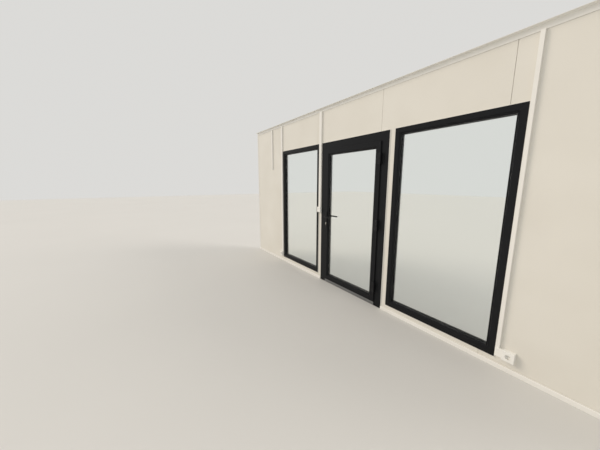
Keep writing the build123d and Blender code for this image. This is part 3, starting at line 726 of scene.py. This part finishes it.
face_low, face_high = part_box("lock_faceplate")
strike_low, strike_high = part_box("strike_plate")
cylinder_low, cylinder_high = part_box("lock_cylinder")
edge_y = (face_low.y + face_high.y) / 2
face_margin = 12 * mm
leaf_edge_x = leaf_body_low[0]
lock_screw = star_screw(3.6 * mm)
faceplate_screws = place_copies(
    "faceplate_screws", lock_screw,
    [(leaf_edge_x, edge_y, z) for z in (face_low.z + face_margin, face_high.z - face_margin)],
    (-1, 0, 0), stainless)
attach(faceplate_screws, "leaf")
strike_screws = place_copies(
    "strike_screws", lock_screw,
    [(strike_high.x, edge_y, z) for z in (strike_low.z + face_margin, strike_high.z - face_margin)],
    (1, 0, 0), stainless)
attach(strike_screws, "wall")


def key_plug(radius, height):
    """Gives a cylinder's turning plug: a low disc parted by its key slot, standing on z = 0."""
    slot_half = 0.9 * mm
    slot_top = radius * 0.72
    slot_foot = -radius * 0.5
    bridge_end = radius * 0.98
    steps = 12
    shapes = []
    for side in (-1, 1):
        start = math.asin(slot_half / radius)
        turns = [start + (math.pi - 2 * start) * n / steps for n in range(steps + 1)]
        arc = [(side * radius * math.sin(turn), radius * math.cos(turn)) for turn in turns]
        count = len(arc)
        points = [(x, y, level) for level in (0.0, height) for x, y in arc]
        faces = [tuple(range(count)), tuple(reversed(range(count, 2 * count)))]
        for n in range(count):
            m = (n + 1) % count
            faces.append((n, n + count, m + count, m))
        shapes.append((points, faces))
    for low_end, high_end in ((slot_top, bridge_end), (-bridge_end, slot_foot)):
        points = [(x, y, level) for level in (0.0, height)
                  for x, y in ((-slot_half, low_end), (slot_half, low_end),
                               (slot_half, high_end), (-slot_half, high_end))]
        faces = [(3, 2, 1, 0), (4, 5, 6, 7), (0, 1, 5, 4), (1, 2, 6, 5), (2, 3, 7, 6), (3, 0, 4, 7)]
        shapes.append((points, faces))
    return joined(*shapes)


cylinder_radius = 8.5 * mm
cylinder_x = (cylinder_low.x + cylinder_high.x) / 2
cylinder_z = cylinder_high.z - cylinder_radius
plug_points, plug_faces = key_plug(radius=6.4 * mm, height=0.5 * mm)
plug_ends = []
for end, outwards in ((cylinder_low.y, -1), (cylinder_high.y, 1)):
    plug_ends.append(([(cylinder_x + x, end + outwards * z, cylinder_z + y)
                       for x, y, z in plug_points], plug_faces))
key_plugs = make_piece("key_plugs", joined(*plug_ends), nickel)
turn_outwards(key_plugs)
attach(key_plugs, "leaf")


# Lever handles
# Cast levers on long oval plates, all powder-coated black. The plates clamp the leaf between
# them with two screws that go in from the room side.

for handle_name in ("handle_plates", "lever_inside", "lever_outside"):
    coat_node(handle_name, black_fittings)
coat_node("spindle", stainless)

handle_low, handle_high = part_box("handle_plates")
screw_inset = 14 * mm
handle_x = (handle_low.x + handle_high.x) / 2
plate_screw_levels = (handle_low.z + screw_inset, handle_high.z - screw_inset)
plate_screws = place_copies(
    "plate_screws", star_screw(3.4 * mm),
    [(handle_x, handle_low.y, z) for z in plate_screw_levels],
    (0, -1, 0), black_fittings)
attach(plate_screws, "leaf")


# Trims in the room
# Cornice angle, skirting and cable trunking are white rigid PVC, extruded and clipped or glued
# on. A bead of white silicone, drawn off with a wet finger, closes the edge of each frame.


def rigid_pvc(name, squeeze):
    """Extruded white PVC: smooth, slightly glossy, with the die's faint lines along it."""
    material, tree, place = start_material(name)
    cloud_width = 300 * mm
    # The die's lines are about 0.5 mm apart. They are drawn 3 mm apart, so that they show.
    line_width = 3 * mm
    cloud = add_node(tree, "ShaderNodeTexNoise", {}, {
        "Vector": place, "Scale": 1 / cloud_width, "Detail": 4.0})
    along = add_node(tree, "ShaderNodeMapping", {}, {"Vector": place, "Scale": squeeze})
    lines = add_node(tree, "ShaderNodeTexNoise", {}, {
        "Vector": along.outputs[0], "Scale": 1 / line_width, "Detail": 2.0})
    colour = add_node(tree, "ShaderNodeMix", {"data_type": "RGBA"}, {
        0: cloud.outputs[0], 6: linear("#e9e7e1"), 7: linear("#f3f1ec")})
    bump = add_node(tree, "ShaderNodeBump", {}, {
        "Height": lines.outputs[0], "Strength": 0.15, "Distance": 0.1 * mm})
    roughness = add_node(tree, "ShaderNodeMapRange", {}, {
        "Value": lines.outputs[0], "From Min": 0.3, "From Max": 0.7,
        "To Min": 0.28, "To Max": 0.36})
    close_material(tree, add_node(tree, "ShaderNodeBsdfPrincipled", {}, {
        "Base Color": colour.outputs[2], "Roughness": roughness.outputs[0], "IOR": 1.54,
        "Normal": bump.outputs["Normal"]}))
    return material


def white_silicone():
    """Cured white silicone: rubbery and softly glossy, uneven where a finger drew it off."""
    material, tree, place = start_material("white_silicone")
    drag_width = 60 * mm
    drag = add_node(tree, "ShaderNodeTexNoise", {}, {
        "Vector": place, "Scale": 1 / drag_width, "Detail": 3.0})
    colour = add_node(tree, "ShaderNodeMix", {"data_type": "RGBA"}, {
        0: drag.outputs[0], 6: linear("#dedbd3"), 7: linear("#efede8")})
    bump = add_node(tree, "ShaderNodeBump", {}, {
        "Height": drag.outputs[0], "Strength": 0.4, "Distance": 0.6 * mm})
    close_material(tree, add_node(tree, "ShaderNodeBsdfPrincipled", {}, {
        "Base Color": colour.outputs[2], "Roughness": 0.34, "IOR": 1.43,
        "Normal": bump.outputs["Normal"]}))
    return material


level_pvc = rigid_pvc("rigid_white_pvc_level", (0.01, 1.0, 1.0))
upright_pvc = rigid_pvc("rigid_white_pvc_upright", (1.0, 1.0, 0.01))
silicone = white_silicone()
for trim_name in ("cornice_trim", "skirting"):
    coat_node(trim_name, level_pvc)
coat_node("cable_trunking", upright_pvc)

room_face = -50 * mm
frame_face = window_boxes[0][0].y
skirting_head = 40 * mm
# The bead's round from the frame's face down to the panel, as places outwards and in depth.
bead_section = [
    (-0.8 * mm, frame_face),
    (-0.8 * mm, frame_face - 0.3 * mm),
    (0.5 * mm, frame_face - 0.4 * mm),
    (2.2 * mm, frame_face + 0.5 * mm),
    (3.6 * mm, room_face - 0.4 * mm),
    (4.6 * mm, room_face),
    (0.0, room_face),
    (0.0, frame_face),
]
sealant_shapes = [swept(bead_section, (low.x, low.z), (high.x, high.z))
                  for low, high in window_boxes]
sealant_shapes.append(swept(bead_section, (door_low.x, skirting_head),
                            (door_high.x, door_high.z), open_foot=True))
frame_sealant = make_piece("frame_sealant", joined(*sealant_shapes), silicone)
turn_outwards(frame_sealant)
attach(frame_sealant, "wall")


# Switch and sockets
# Surface boxes of moulded white ABS, with a wide rocker and two earthed sockets. Each socket
# has a pair of sprung nickel earth clips and a screw in the middle of its insert.


def moulded_abs():
    """Glossy white moulded ABS, smooth from the mould."""
    material, tree, place = start_material("moulded_white_abs")
    flow_width = 90 * mm
    flow = add_node(tree, "ShaderNodeTexNoise", {}, {
        "Vector": place, "Scale": 1 / flow_width, "Detail": 3.0})
    colour = add_node(tree, "ShaderNodeMix", {"data_type": "RGBA"}, {
        0: flow.outputs[0], 6: linear("#eeece6"), 7: linear("#f7f6f2")})
    roughness = add_node(tree, "ShaderNodeMapRange", {}, {
        "Value": flow.outputs[0], "From Min": 0.3, "From Max": 0.7, "To Min": 0.16, "To Max": 0.24})
    close_material(tree, add_node(tree, "ShaderNodeBsdfPrincipled", {}, {
        "Base Color": colour.outputs[2], "Roughness": roughness.outputs[0], "IOR": 1.53}))
    return material


abs_white = moulded_abs()
for box_name in ("switch_box", "switch_rocker", "socket_boxes", "socket_inserts", "junction_box"):
    coat_node(box_name, abs_white)

socket_low, socket_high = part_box("socket_boxes")
insert_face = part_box("socket_inserts")[0].y
socket_half = 41 * mm
socket_places = (socket_low.x + socket_half, socket_high.x - socket_half)
socket_z = (socket_low.z + socket_high.z) / 2
recess_radius = 19.5 * mm
clip_half = 3 * mm
clip_thick = 0.8 * mm
# The strip's bow: how far it stands in from the recess's wall, and how far out from the insert.
clip_bow = ((0.0, 0.0), (1.4 * mm, 3 * mm), (2.6 * mm, 8 * mm), (1.6 * mm, 12 * mm),
            (0.2 * mm, 14 * mm))
clip_path = [(recess_radius - inwards, insert_face - rise) for inwards, rise in clip_bow]


def earth_clip(x, up):
    """Gives one sprung strip that bows inwards from the socket's wall."""
    points = []
    for radius, y in clip_path:
        for thick in (0.0, clip_thick):
            for side in (-clip_half, clip_half):
                points.append((x + side, y, socket_z + up * (radius - thick)))
    faces = [(0, 1, 3, 2), tuple(len(points) - 4 + n for n in (0, 2, 3, 1))]
    for n in range(len(clip_path) - 1):
        near = 4 * n
        faces += [(near, near + 4, near + 5, near + 1), (near + 1, near + 5, near + 7, near + 3),
                  (near + 3, near + 7, near + 6, near + 2), (near + 2, near + 6, near + 4, near)]
    return points, faces


clip_shapes = [earth_clip(x, up) for x in socket_places for up in (-1, 1)]
earth_clips = make_piece("earth_clips", joined(*clip_shapes), nickel)
turn_outwards(earth_clips)
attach(earth_clips, "wall")
socket_screws = place_copies("socket_screws", star_screw(3 * mm),
                             [(x, insert_face, socket_z) for x in socket_places],
                             (0, -1, 0), nickel)
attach(socket_screws, "wall")


# Flashings and sills outside
# Folded from thin steel, powder-coated white. The flashings wrap the edge of each opening and
# are riveted to the panel; the sills throw the rain clear of the wall.

for weathering_name in ("flashings", "window_sills"):
    coat_node(weathering_name, white_powder)

flashing_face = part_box("flashings")[1].y
rivet_line = 15 * mm
rivet_end = 70 * mm
rivet_pitch = 300 * mm
flange = 30.5 * mm
rivet = turned([(3.6 * mm, 0.0), (3.5 * mm, 0.5 * mm), (2.8 * mm, 1.2 * mm), (1.5 * mm, 1.7 * mm),
                (0.8 * mm, 1.5 * mm)], 14)
rivet_runs = []
for low, high in window_boxes + [(door_low, door_high)]:
    left = low.x - flange + rivet_line
    right = high.x + flange - rivet_line
    top = high.z + flange - rivet_line
    foot = low.z + rivet_end
    rivet_runs += [((left, foot), (left, top)), ((right, foot), (right, top)),
                   ((left + rivet_end, top), (right - rivet_end, top))]
flashing_rivets = place_copies(
    "flashing_rivets", rivet, [[(x, flashing_face, z) for x, z in run] for run in rivet_runs],
    (0, 1, 0), white_powder, spacing=rivet_pitch, smooth=True)
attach(flashing_rivets, "wall")


# Floor, light and camera
# A plain pale floor under the wall, one soft light on each side of it and the photograph's own
# wide view from the room.

floor_half = 30.0
floor_level = -0.5 * mm
floor_points = [(x * floor_half, y * floor_half, floor_level)
                for x, y in ((-1, -1), (1, -1), (1, 1), (-1, 1))]
# Plain matt paint on a screed: nearly even, with broad clouds that barely show.
floor_material, floor_tree, floor_place = start_material("plain_pale_floor")
cloud_scale = 0.4
floor_cloud = add_node(floor_tree, "ShaderNodeTexNoise", {}, {
    "Vector": floor_place, "Scale": cloud_scale})
floor_colour = add_node(floor_tree, "ShaderNodeMix", {"data_type": "RGBA"}, {
    0: floor_cloud.outputs[0], 6: linear("#d3d2cf"), 7: linear("#d8d7d4")})
close_material(floor_tree, add_node(floor_tree, "ShaderNodeBsdfPrincipled", {}, {
    "Base Color": floor_colour.outputs[2], "Roughness": 0.6}))
floor = make_piece("floor", (floor_points, [(0, 1, 2, 3)]), floor_material)

scene = bpy.context.scene
scene.view_settings.view_transform = "Standard"
world = bpy.data.worlds.new("studio")
scene.world = world
world.use_nodes = True
sky = world.node_tree.nodes["Background"]
sky.inputs["Color"].default_value = linear("#f5f4f1")
sky.inputs["Strength"].default_value = 0.78


def add_light(name, place, strength, colour):
    """Adds an even light, soft and without a glare, that shines from a place towards the wall."""
    softness = math.radians(30)
    lamp = bpy.data.lights.new(name, "SUN")
    lamp.angle = softness
    lamp.energy = strength
    lamp.color = linear(colour)[:3]
    holder = bpy.data.objects.new(name, lamp)
    scene.collection.objects.link(holder)
    holder.location = place
    holder.rotation_euler = (-Vector(place)).to_track_quat("-Z", "Y").to_euler()
    holder.visible_glossy = False


add_light("room_light", (-6.0, -4.5, 4.3), 1.4, "#fff1e0")
add_light("garden_light", (5.5, 6.0, 5.0), 0.9, "#fff6ec")

camera_data = bpy.data.cameras.new("camera")
camera_data.lens = 15.0
camera_data.sensor_width = 36.0
camera = bpy.data.objects.new("camera", camera_data)
scene.collection.objects.link(camera)
camera.location = (2.3931, -2.4277, 1.4990)
view_direction = Vector((-0.8189, 0.5494, -0.1663))
camera.rotation_euler = view_direction.to_track_quat("-Z", "Y").to_euler()
scene.camera = camera
